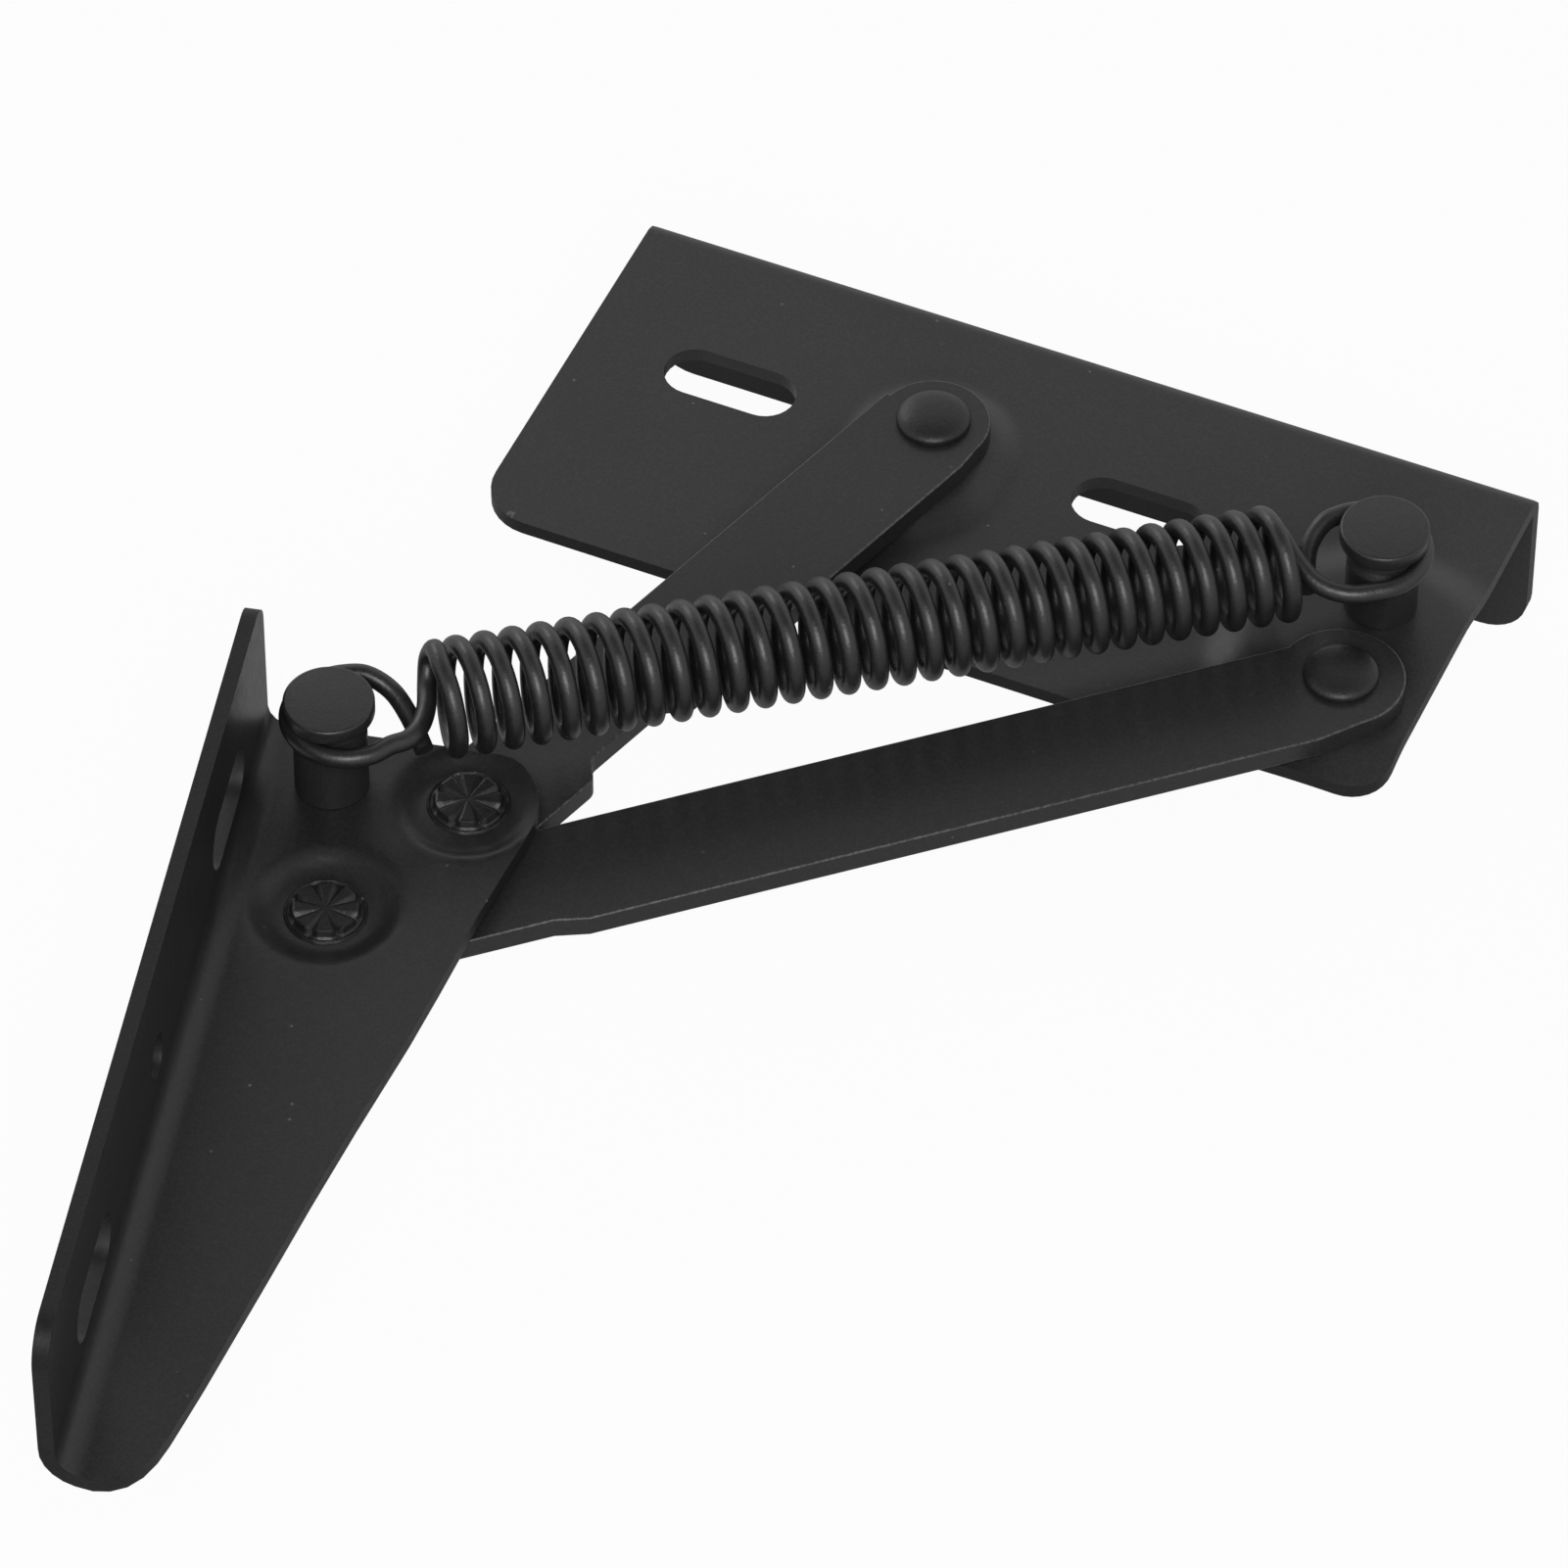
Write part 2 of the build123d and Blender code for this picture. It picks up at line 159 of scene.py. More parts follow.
class Finish:
    """The nodes of a surface finish, or of the light in the room."""

    def __init__(self, holder):
        self.holder = holder
        holder.use_nodes = True
        self.tree = holder.node_tree
        self.tree.nodes.clear()

    def node(self, kind, settings=None, inputs=None, output=0):
        """Adds a node, sets it up, joins its sockets and returns one output."""
        made = self.tree.nodes.new(kind)
        for key, value in (settings or {}).items():
            if key == "stops":
                while len(made.color_ramp.elements) < len(value):
                    made.color_ramp.elements.new(0.5)
                for stop, (place, grey) in zip(made.color_ramp.elements, value):
                    stop.position = place
                    stop.color = (grey, grey, grey, 1.0)
            else:
                setattr(made, key, value)
        for key, value in (inputs or {}).items():
            socket = made.inputs[key]
            if isinstance(value, Shade):
                self.tree.links.new(value.socket, socket)
            else:
                socket.default_value = value
        return Shade(self.tree, made.outputs[output]) if len(made.outputs) else None

    def noise(self, place, scale, detail, roughness):
        """Cloudy noise from 0 to 1."""
        inputs = {"Vector": place, "Scale": scale, "Detail": detail, "Roughness": roughness}
        return self.node("ShaderNodeTexNoise", {"noise_dimensions": "3D"}, inputs)

    def dots(self, place, scale):
        """The distance to the nearest of many scattered dots."""
        inputs = {"Vector": place, "Scale": scale, "Randomness": 1.0}
        return self.node("ShaderNodeTexVoronoi", {"feature": "F1"}, inputs)

    def ramp(self, value, stops):
        """A grey between stops, each a place and its grey."""
        return self.node("ShaderNodeValToRGB", {"stops": stops}, {"Fac": value})

    def mix(self, share, first, second):
        """A colour between two others."""
        # the Mix node's own sockets for colours
        colour_a, colour_b, mixed = 6, 7, 2
        inputs = {"Factor": share, colour_a: first, colour_b: second}
        return self.node("ShaderNodeMix", {"data_type": "RGBA"}, inputs, output=mixed)


dust_colour = (0.16, 0.16, 0.162, 1.0)


def powder_coat(name, dark, pale, gloss=0.36, grain=0.00003, level=0.30):
    """Black powder coat: orange peel, a fine dotted grain, dusty flecks and uneven gloss."""
    coat = Finish(bpy.data.materials.new(name))
    place = coat.node("ShaderNodeTexCoord", output="Object")
    peel = coat.noise(place, 900.0, 3.0, 0.55)
    cloud = coat.noise(place, 42.0, 4.0, 0.6)
    patch = coat.noise(place, 170.0, 2.0, 0.5)
    pits = coat.dots(place, 2600.0)
    # pale specks of dust, only a few in each square centimetre
    dust = coat.ramp(coat.dots(place, 420.0), [(0.0, 1.0), (0.05, 1.0), (0.085, 0.0)])
    sparse = coat.ramp(patch, [(0.56, 0.0), (0.62, 1.0)])
    flecks = (dust * sparse * 0.5).clipped()
    share = ((cloud - 0.3) * 1.3 + (pits - 0.4) * 1.2).clipped()
    tone = coat.mix(share, (dark, dark, dark, 1.0), (pale, pale, pale, 1.0))
    height = peel * 0.6 + pits * 0.4 + flecks * 0.5
    bump = coat.node(
        "ShaderNodeBump",
        None,
        {"Strength": 0.5, "Distance": grain, "Height": height},
    )
    surface = coat.node(
        "ShaderNodeBsdfPrincipled",
        None,
        {
            "Base Color": coat.mix(flecks, tone, dust_colour),
            "Roughness": gloss + (cloud - 0.5) * 0.16 + (peel - 0.5) * 0.14,
            "Normal": bump,
            "IOR": 1.5,
            "Specular IOR Level": level,
        },
    )
    coat.node("ShaderNodeOutputMaterial", None, {"Surface": surface})
    return coat.holder


def arc(centre, radius, start, stop, steps):
    """Points along an arc, from one angle in degrees to another."""
    points = []
    for step in range(steps + 1):
        angle = math.radians(start + (stop - start) * step / steps)
        points.append((centre[0] + radius * math.cos(angle), centre[1] + radius * math.sin(angle)))
    return points


def slot_loop(centre):
    """The outline of a screw slot that lies along the fold."""
    reach = (slot_length - slot_width) / 2
    right = arc((centre[0] + reach, centre[1]), slot_width / 2, -90, 90, 14)
    left = arc((centre[0] - reach, centre[1]), slot_width / 2, 90, 270, 14)
    return right + left


def inside(point, loop):
    """Whether a point of the blank lies inside a loop."""
    x, y = point
    within = False
    for (x1, y1), (x2, y2) in zip(loop, loop[1:] + loop[:1]):
        if (y1 > y) != (y2 > y) and x < (x2 - x1) * (y - y1) / (y2 - y1) + x1:
            within = not within
    return within


def in_sheet(point, loops):
    """Whether a point lies in the outline, the first loop, and in none of the holes."""
    return inside(point, loops[0]) and not any(inside(point, loop) for loop in loops[1:])


def spaced(loop, gap):
    """The same loop with extra points, so that none lie further apart than a gap."""
    points = []
    for (x1, y1), (x2, y2) in zip(loop, loop[1:] + loop[:1]):
        parts = max(1, math.ceil(math.hypot(x2 - x1, y2 - y1) / gap))
        points += [(x1 + (x2 - x1) * k / parts, y1 + (y2 - y1) * k / parts) for k in range(parts)]
    return points


def swell(distance, full, none):
    """1 inside the full radius, 0 outside the other, and a soft slope between."""
    share = min(1.0, max(0.0, (none - distance) / (none - full)))
    return share * share * (3 - 2 * share)


def soft_shading(built, crease):
    """Smooth shading that breaks at every edge as sharp as the crease angle."""
    for face in built.faces:
        face.smooth = True
    for line in built.edges:
        line.smooth = line.calc_face_angle(0.0) < crease


def new_piece(name, built, *finishes):
    """Puts a built shape into the scene with its finishes."""
    mesh = bpy.data.meshes.new(name)
    built.to_mesh(mesh)
    built.free()
    for finish in finishes:
        mesh.materials.append(finish)
    piece = bpy.data.objects.new(name, mesh)
    bpy.context.scene.collection.objects.link(piece)
    return piece


def rounded_edges(piece, width, crease, segments=2, finish_slot=-1):
    """A live bevel on the sharp edges, which the coat rounds."""
    bevel = piece.modifiers.new("coat_edge", "BEVEL")
    bevel.width = width
    bevel.segments = segments
    bevel.material = finish_slot
    bevel.limit_method = "ANGLE"
    bevel.angle_limit = crease
    bevel.harden_normals = True
    bevel.use_clamp_overlap = True


def pressed_sheet(name, outline, holes, rows, columns, place, finish):
    """A pressed blank: its outline is filled, folded and embossed by place()."""
    loops = [spaced(loop, rim_step) for loop in (outline, *holes)]
    points, lines = [], []
    for loop in loops:
        first = len(points)
        points += [Vector(point) for point in loop]
        lines += [(first + k, first + (k + 1) % len(loop)) for k in range(len(loop))]
    rim = np.array([tuple(point) for point in points])
    for row in rows:
        for column in columns:
            clear = np.hypot(rim[:, 0] - column, rim[:, 1] - row).min()
            if clear > rim_clearance and in_sheet((column, row), loops):
                points.append(Vector((column, row)))
    # triangles over the whole hull, of which those in the sheet are used below
    whole_hull, weld_gap = 0, 1e-5
    flat, _, faces, _, _, _ = delaunay_2d_cdt(points, lines, [], whole_hull, weld_gap)
    flat = [(point.x, point.y) for point in flat]
    built = bmesh.new()
    tops = [built.verts.new(place(u, s, 0.0)) for u, s in flat]
    backs = [built.verts.new(place(u, s, 1.0)) for u, s in flat]
    borders = []
    for face in faces:
        centre = (sum(flat[k][0] for k in face) / 3, sum(flat[k][1] for k in face) / 3)
        if in_sheet(centre, loops):
            borders += zip(face, face[1:] + face[:1])
            built.faces.new([tops[k] for k in face])
            built.faces.new([backs[k] for k in reversed(face)])
    shared = set(borders)
    for one, two in borders:
        if (two, one) not in shared:
            cut = built.faces.new((tops[two], tops[one], backs[one], backs[two]))
            halfway = ((flat[one][0] + flat[two][0]) / 2, (flat[one][1] + flat[two][1]) / 2)
            in_hole = any(
                math.dist(halfway, point) < 0.6 * rim_step for loop in loops[1:] for point in loop
            )
            # the outer cut walls get the darker coat, painted shade; the walls of the holes, lit
            # through them, keep the plate's coat
            cut.material_index = plate_slot if in_hole else cut_wall_shade_slot
    loose = [vert for vert in built.verts if not vert.link_faces]
    bmesh.ops.delete(built, geom=loose, context="VERTS")
    bmesh.ops.recalc_face_normals(built, faces=built.faces)
    soft_shading(built, sheet_crease)
    piece = new_piece(name, built, finish, cut_wall_shade_finish, edge_highlight_finish)
    # the rounded edges take the paler coat, a painted highlight
    rounded_edges(piece, sheet_edge, sheet_crease, 3, edge_highlight_slot)
    return piece


# sizes in mm of the sheet and its screw slots, and of the grid that is laid over it
sheet = 1.6
slot_length, slot_width = 14.5, 6.5
rim_step = 1.0
rim_clearance = 0.4
plate_step = 0.8
bend_step = 0.34
leaf_step = 1.6
sheet_edge = 0.17 * MM
sheet_crease = math.radians(40)
plate_slot, cut_wall_shade_slot, edge_highlight_slot = 0, 1, 2

base_left, base_right, base_near, base_far = -40.0, 60.0, -27.0, 19.0
base_bend = 1.95
lip_drop = 20.0
boss_a_stretch = 2.5
boss_b = (52.0, -10.6)
# radius of each boss's flat top and of its foot
boss_a_radii, boss_b_radii = (5.6, 9.6), (11.3, 17.4)
boss_height = 1.3
base_flat = base_far - base_bend
base_drop = base_flat + base_bend * math.pi / 2
base_end = base_drop + lip_drop - base_bend
base_outline = (
    arc((base_left + 5.5, base_near + 5.5), 5.5, 180, 270, 8)
    + arc((base_right - 4.4, base_near + 4.4), 4.4, 270, 360, 8)
    + arc((base_right - 5.0, base_end - 5.0), 5.0, 0, 90, 8)
    + arc((base_left + 5.0, base_end - 5.0), 5.0, 90, 180, 8)
)


def place_base(along, across, depth):
    """Where a point of the base blank lies once it is folded and embossed."""
    if across <= base_flat:
        # the boss under pivot A is stretched towards the near edge
        beside = max(0.0, abs(across + boss_a_stretch) - boss_a_stretch)
        by_a = swell(math.hypot(along, beside), *boss_a_radii)
        by_b = swell(math.dist((along, across), boss_b), *boss_b_radii)
        level = sheet * (1 - depth) + boss_height * max(by_a, by_b)
        return (along * MM, across * MM, level * MM)
    turn = min((across - base_flat) / base_bend, math.pi / 2)
    down = max(0.0, across - base_drop)
    radius = base_bend - sheet * depth
    y = base_flat + radius * math.sin(turn)
    z = sheet - base_bend + radius * math.cos(turn) - down
    return (along * MM, y * MM, z * MM)


# a darker copy of the coat for the outer cut walls: painted shade on them
cut_wall_shade_finish = powder_coat(
    "black_coat_cut_wall_painted_shade", 0.0085, 0.0130, gloss=0.46, grain=0.00006, level=0.18
)
# a paler coat for the rounded edges: a painted highlight along them
edge_highlight_finish = powder_coat("black_coat_painted_edge_highlight", 0.024, 0.085, gloss=0.34, level=0.42)
plate_finish = powder_coat("black_coat_plate", 0.0185, 0.0265)
base_rows = [*np.arange(base_near + 0.4, base_flat, plate_step)]
base_rows += [*np.arange(base_flat, base_drop + 0.2, bend_step)]
base_rows += [*np.arange(base_drop + 0.6, base_end, leaf_step)]
base_piece = pressed_sheet(
    "base_angle",
    base_outline,
    [slot_loop((-23.0, 0.0)), slot_loop((23.0, 0.0))],
    base_rows,
    np.arange(base_left + 0.4, base_right, plate_step),
    place_base,
    plate_finish,
)
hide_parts("base_bracket")
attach(base_piece, "base")

# Lid bracket. The moving angle is pressed from the same strip. Its plate tapers to a
# round tail, its flange stands up to screw to the lid, and two dimples meet the arms.
lid_turn = math.radians(13.5)
lid_along = Vector((math.sin(lid_turn), -math.cos(lid_turn), 0.0))
lid_across = Vector((math.cos(lid_turn), math.sin(lid_turn), 0.0))
lid_c, lid_d = (7.04, 23.21), (22.8, 12.15)
pivot_d_spot = Vector((-27.9, -87.9, 0.0))
lid_corner = pivot_d_spot - lid_along * lid_d[0] - lid_across * lid_d[1]
lid_top = 8.4
lid_bend = 2.6
# radius of each dimple's flat floor and of its mouth
dimple_c_radii, dimple_d_radii = (5.0, 7.9), (5.0, 8.1)
dimple_depth = 1.3
flange_top = 26.8
slot_below_top = 11.6
lid_flat = sheet + lid_bend
lid_rise = lid_flat - lid_bend * math.pi / 2
lid_end = lid_rise - (flange_top - lid_top - lid_bend)
lid_slot = lid_rise - (flange_top - slot_below_top - lid_top - lid_bend)


def place_lid(along, across, depth):
    """Where a point of the lid blank lies once it is folded and dimpled."""
    if across >= lid_flat:
        by_c = swell(math.dist((along, across), lid_c), *dimple_c_radii)
        by_d = swell(math.dist((along, across), lid_d), *dimple_d_radii)
        out, up = across, lid_top - sheet * depth - dimple_depth * max(by_c, by_d)
    else:
        turn = min((lid_flat - across) / lid_bend, math.pi / 2)
        radius = lid_bend + sheet * depth
        out = lid_flat - radius * math.sin(turn)
        up = lid_top + lid_bend - radius * math.cos(turn) + max(0.0, lid_rise - across)
    return (lid_corner + lid_along * along + lid_across * out + Vector((0, 0, up))) * MM


# the outline runs from the flange round the corner, the taper and the tail
lid_corner_round = [(0.35, 26.6), (1.1, 27.8), (2.2, 28.75), (4.0, 29.85), (6.0, 30.4)]
taper = [(8.4, 30.4), (12.0, 29.7), (15.4, 28.8), (22.0, 27.2), (31.6, 25.2), (38.4, 23.7)]
taper += [(50.0, 20.8), (60.0, 18.45), (70.0, 16.25)]
tail = [(84.0, 13.1), (88.5, 12.0), (91.3, 11.3), (93.5, 10.6), (95.4, 9.65), (96.8, 8.4)]
tail += [(97.6, 6.9), (97.85, 5.3), (97.5, 3.0), (97.1, 0.0), (97.1, lid_end + 4.0)]
lid_outline = (
    [(0.0, lid_end + 3.0), (0.0, 25.0)]
    + lid_corner_round
    + taper
    + tail
    + arc((93.1, lid_end + 4.0), 4.0, 0, -90, 8)[1:]
    + arc((3.0, lid_end + 3.0), 3.0, 270, 180, 8)[:-1]
)
lid_finish = powder_coat("black_coat_lid", 0.0125, 0.0190)
lid_rows = [*np.arange(lid_end + 0.8, lid_rise, leaf_step)]
lid_rows += [*np.arange(lid_rise, lid_flat, bend_step)]
lid_rows += [*np.arange(lid_flat + 0.3, 31.6, plate_step)]
lid_piece = pressed_sheet(
    "lid_angle",
    lid_outline,
    [
        slot_loop((18.0, lid_slot)),
        slot_loop((79.0, lid_slot)),
        arc((51.0, lid_slot), 2.5, 0, 345, 23),
    ],
    lid_rows,
    np.arange(0.4, 98.3, plate_step),
    place_lid,
    lid_finish,
)
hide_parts("lid_bracket")
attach(lid_piece, "lid")

# Arms. Both are blanked from 2.5 mm flat bar, and the short one is stepped to pass
# the long one. Their rounded edges carry a paler coat, a painted highlight.
bar_crease = math.radians(32)
bar_edge = 0.18 * MM
bar_weld_gap = 0.002 * MM
bar_finish = powder_coat("black_coat_arm", 0.0155, 0.0225)


def coated_bar(node, name):
    """A merged copy of an arm with its sharp edges rounded by the coat."""
    built = bmesh.new()
    built.from_mesh(frame["nodes"][node].data)
    bmesh.ops.remove_doubles(built, verts=built.verts, dist=bar_weld_gap)
    bmesh.ops.dissolve_limit(
        built, angle_limit=math.radians(0.25), verts=built.verts, edges=built.edges
    )
    soft_shading(built, bar_crease)
    piece = new_piece(name, built, bar_finish, edge_highlight_finish)
    # slot 1 puts the paler coat, a painted highlight, on the rounded edges
    rounded_edges(piece, bar_edge, bar_crease, finish_slot=1)
    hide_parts(node)
    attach(piece, frame["nodes"][node]["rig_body"])


coated_bar("short_arm", "short_bar")
coated_bar("long_arm", "long_bar")

# Rivets. Each pivot rivet has a low domed head on one side. The other side is spread
# by a star punch, which leaves eight flat petals with a groove between them.
head_radius = 3.85 * MM
head_height = 1.5 * MM
head_rim = 0.4 * MM
shank_radius = 2.5 * MM
star_top = 3.45 * MM
star_foot = 4.25 * MM
star_rise = 1.0 * MM
petals = 8
rivet_crease = math.radians(22)
rivet_edge = 0.05 * MM
rivet_weld_gap = 0.001 * MM
rivet_sides = 64
pole = 1e-9


def dome_rings(seat, direction):
    """Rings of a domed head from its seat out over the rim to the crown."""
    rings = [(shank_radius, seat), (head_radius * 0.985, seat)]
    rings.append((head_radius, seat + direction * head_rim * 0.25))
    rings.append((head_radius, seat + direction * head_rim))
    for step in range(1, 13):
        angle = step / 12 * math.pi / 2
        radius = head_radius * math.cos(angle) ** 0.82
        rise = head_rim + (head_height - head_rim) * math.sin(angle)
        rings.append((radius, seat + direction * rise))
    return rings


def lathe(built, centre, rings, sides):
    """Turns rings of radius and level round a centre. A ring of no size is a pole."""
    rows = []
    for radius, level in rings:
        row = []
        for step in range(sides if radius > 1e-7 else 1):
            angle = 2 * math.pi * step / sides
            x = centre[0] + radius * math.cos(angle)
            y = centre[1] + radius * math.sin(angle)
            row.append(built.verts.new((x, y, level)))
        rows.append(row)
    for low, high in zip(rows, rows[1:]):
        for step in range(sides):
            after = (step + 1) % sides
            if len(high) == 1:
                built.faces.new((low[step], low[after], high[0]))
            elif len(low) == 1:
                built.faces.new((low[0], high[after], high[step]))
            else:
                built.faces.new((low[step], low[after], high[after], high[step]))


def star_petals(built, centre, level, direction):
    """The pressed star: flat petals with grooves between, in a low crusted collar."""
    per_petal = 12
    stations = petals * per_petal
    petal_half = math.radians(18.0)
    groove_share = 0.22
    groove_pull = 0.10
    # share of the star's radius, groove depth and petal height in mm
    profile = (
        (0.16, 0.04, 0.80),
        (0.45, 0.20, 0.86),
        (0.75, 0.36, 0.93),
        (0.93, 0.46, 1.00),
        (1.00, 0.52, 0.93),
        (1.07, 0.10, 0.30),
    )
    rows = []
    for share, depth, height in profile:
        row = []
        for step in range(stations):
            phase = (step % per_petal) / per_petal
            groove = max(0.0, 1 - min(phase, 1 - phase) / groove_share)
            beside = min(abs(phase - 0.5) * 2 * math.pi / petals, petal_half)
            straight = math.cos(petal_half) / math.cos(beside)
            radius = star_top * share * straight * (1 - groove_pull * groove)
            row.append((radius, height - depth * groove))
        rows.append(row)
    # the collar that the punch raises round the star, with its uneven crest
    crust = [0.30 + 0.07 * math.sin(step * 2.4) * math.sin(step * 1.3) for step in range(stations)]
    rows.append([(star_foot - 0.48 * MM, 0.10)] * stations)
    rows.append([(star_foot - 0.20 * MM, rise) for rise in crust])
    rows.append([(star_foot, 0.0)] * stations)
    rows.append([(shank_radius, 0.0)] * stations)
    grid = []
    for row in rows:
        line = []
        for step, (radius, rise) in enumerate(row):
            angle = 2 * math.pi * step / stations
            x = centre[0] + radius * math.cos(angle)
            y = centre[1] + radius * math.sin(angle)
            line.append(built.verts.new((x, y, level + direction * rise * MM)))
        grid.append(line)
    crown = built.verts.new((centre[0], centre[1], level + direction * 0.78 * MM))
    for step in range(stations):
        after = (step + 1) % stations
        built.faces.new((crown, grid[0][step], grid[0][after]))
        for near, far in zip(grid, grid[1:]):
            built.faces.new((near[step], far[step], far[after], near[after]))


def rivet_piece(name, body, nodes, parts):
    """One piece for a body's rivets, each made of heads, shanks and stars."""
    built = bmesh.new()
    for kind, centre, one, two in parts:
        if kind == "head":
            lathe(built, centre, dome_rings(one, two), rivet_sides)
        elif kind == "shank":
            rings = [(pole, one), (shank_radius, one), (shank_radius, two), (pole, two)]
            lathe(built, centre, rings, rivet_sides)
        else:
            star_petals(built, centre, one, two)
    bmesh.ops.remove_doubles(built, verts=built.verts, dist=rivet_weld_gap)
    bmesh.ops.recalc_face_normals(built, faces=built.faces)
    soft_shading(built, rivet_crease)
    piece = new_piece(name, built, rivet_finish)
    rounded_edges(piece, rivet_edge, rivet_crease)
    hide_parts(*nodes)
    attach(piece, body)


def middle(node):
    """The axis of an upright round piece, from its CAD box."""
    low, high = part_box(node)
    return ((low.x + high.x) / 2, (low.y + high.y) / 2)


def seats(node):
    """The lowest and highest level of a CAD node."""
    low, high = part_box(node)
    return low.z, high.z


rivet_finish = powder_coat("black_coat_rivet", 0.008, 0.013, gloss=0.42, grain=0.00009, level=0.33)
pivot_a = middle("short_arm_base_rivet")
pivot_b = middle("long_arm_base_rivet")
pivot_c = middle("short_arm_lid_rivet")
pivot_d = middle("long_arm_lid_rivet_tail")
base_low, base_high = seats("short_arm_base_rivet")
lid_low, lid_high = seats("short_arm_lid_rivet")
end_low, end_high = seats("long_arm_lid_rivet_head")
tail_low, tail_high = seats("long_arm_lid_rivet_tail")
# a shank reaches a little way into its head and its star
in_head = head_height * 0.6
in_star = star_rise * 0.6

base_parts = []
for spot in (pivot_a, pivot_b):
    base_parts.append(("head", spot, base_high - head_height, 1))
    base_parts.append(("shank", spot, base_low + in_star, base_high - in_head))
    base_parts.append(("star", spot, base_low + star_rise, -1))
rivet_piece(
    "base_rivets",
    "base",
    ["short_arm_base_rivet", "long_arm_base_rivet"],
    base_parts,
)
rivet_piece(
    "lid_rivet_short_bar",
    "lid",
    ["short_arm_lid_rivet"],
    [
        ("head", pivot_c, lid_low + head_height, -1),
        ("shank", pivot_c, lid_low + in_head, lid_high - in_star),
        ("star", pivot_c, lid_high - star_rise, 1),
    ],
)
rivet_piece(
    "lid_rivet_long_bar_star",
    "lid",
    ["long_arm_lid_rivet_tail"],
    [
        ("shank", pivot_d, tail_low, tail_high - in_star),
        ("star", pivot_d, tail_high - star_rise, 1),
    ],
)
rivet_piece(
    "lid_rivet_long_bar_head",
    "long_link",
    ["long_arm_lid_rivet_head"],
    [
        ("head", pivot_d, end_low + head_height, -1),
        ("shank", pivot_d, end_low + in_head, end_high),
    ],
)

# Spring posts. The two posts are turned steel: a stout stem, a groove for the spring's
# end ring and a flat head with a broken edge. Their tails are spread in the plates.
post_finish = powder_coat("black_coat_post", 0.016, 0.022, gloss=0.34, grain=0.00005, level=0.34)
post_crease = math.radians(30)
post_sides = 72
ring_gap = 1.0 * MM
post_head = 1.75 * MM
base_ring_level, lid_ring_level = 11.5 * MM, 17.9 * MM


def turned_post(name, node, tail_top, foot, ring_level):
    """One post, turned from its spread tail up to the flat head with its round edge."""
    tail_foot = seats(node)[0]
    groove_low = ring_level - ring_gap
    head_low = ring_level + ring_gap
    head_high = head_low + post_head
    rings = [
        (pole, tail_foot),
        (3.1 * MM, tail_foot),
        (3.4 * MM, tail_foot + 0.1 * MM),
        (4.0 * MM, tail_top),
        (shank_radius, tail_top),
        (shank_radius, foot),
        (3.60 * MM, foot),
        (3.75 * MM, foot + 0.15 * MM),
        (3.75 * MM, groove_low - 0.65 * MM),
        (3.62 * MM, groove_low - 0.45 * MM),
        (3.25 * MM, groove_low - 0.1 * MM),
        (3.04 * MM, groove_low + 0.35 * MM),
        (3.0 * MM, ring_level),
        (3.0 * MM, head_low),
        (4.35 * MM, head_low),
    ]
    rings += [(x * MM, head_low + 0.25 * MM + y * MM) for x, y in arc((4.35, 0), 0.25, -60, 0, 3)]
    rings += [(x * MM, head_high + y * MM) for x, y in arc((4.28, -0.32), 0.32, 0, 90, 6)]
    rings.append((pole, head_high))
    built = bmesh.new()
    lathe(built, middle(node), rings, post_sides)
    bmesh.ops.recalc_face_normals(built, faces=built.faces)
    soft_shading(built, post_crease)
    piece = new_piece(name, built, post_finish)
    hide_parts(node)
    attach(piece, frame["nodes"][node]["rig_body"])


base_foot = boss_height * MM + sheet * MM
turned_post("base_post", "base_spring_post", boss_height * MM, base_foot, base_ring_level)
turned_post("lid_post", "lid_spring_post", (lid_top - sheet) * MM, lid_top * MM, lid_ring_level)

# Tension spring. It is cold wound from steel wire, about 2 mm thick with its coat.
# Each end leaves the coil, goes once round its post and tucks under itself.
wire_radius = 1.0 * MM
coil_radius = 5.15 * MM
ring_radius = 5.97 * MM
coil_turns = 30
coil_pitch = 2.90 * MM
coil_gap = 10.18 * MM
lead_turns = 0.7
knots_per_turn = 12
steps_per_knot = 5
ring_offset = 1.93 * MM
far_side_share = 0.91
wire_sides = 20
base_spot = Vector((*middle("base_spring_post"), base_ring_level))
lid_spot = Vector((*middle("lid_spring_post"), lid_ring_level))
level_line = lid_spot - base_spot
level_line.z = 0.0
level_line.normalize()
near_side = Vector((-level_line.y, level_line.x, 0.0))
base_ring = base_spot + level_line * ring_offset
lid_ring = lid_spot - level_line * ring_offset
coil_line = (lid_ring - base_ring).normalized()
coil_up = coil_line.cross(near_side)
coil_start = base_ring + coil_line * coil_gap


def coil_point(turns):
    """A point on the wire's middle, counted in turns from the coil's first top."""
    angle = 2 * math.pi * turns
    return (
        coil_start
        + coil_line * (turns * coil_pitch)
        + coil_up * (coil_radius * math.cos(angle))
        - near_side * (coil_radius * math.sin(angle))
    )


def by_ring(ring, facing, toward, side, up):
    """A point near an end ring in mm: towards the coil, to the near side and up."""
    flat = level_line * (facing * toward) + near_side * side
    return ring + (flat + Vector((0, 0, up))) * MM


def ring_knots(ring, facing, start, stop):
    """Knots on an end ring, which is flatter on its far side, in degrees from the coil."""
    knots = []
    for degrees in range(start, stop + 1, 20):
        angle = math.radians(degrees)
        across = math.sin(angle) * (1.0 if math.sin(angle) > 0 else far_side_share)
        flat = level_line * (facing * math.cos(angle)) + near_side * across
        knots.append(ring + flat * ring_radius)
    return knots


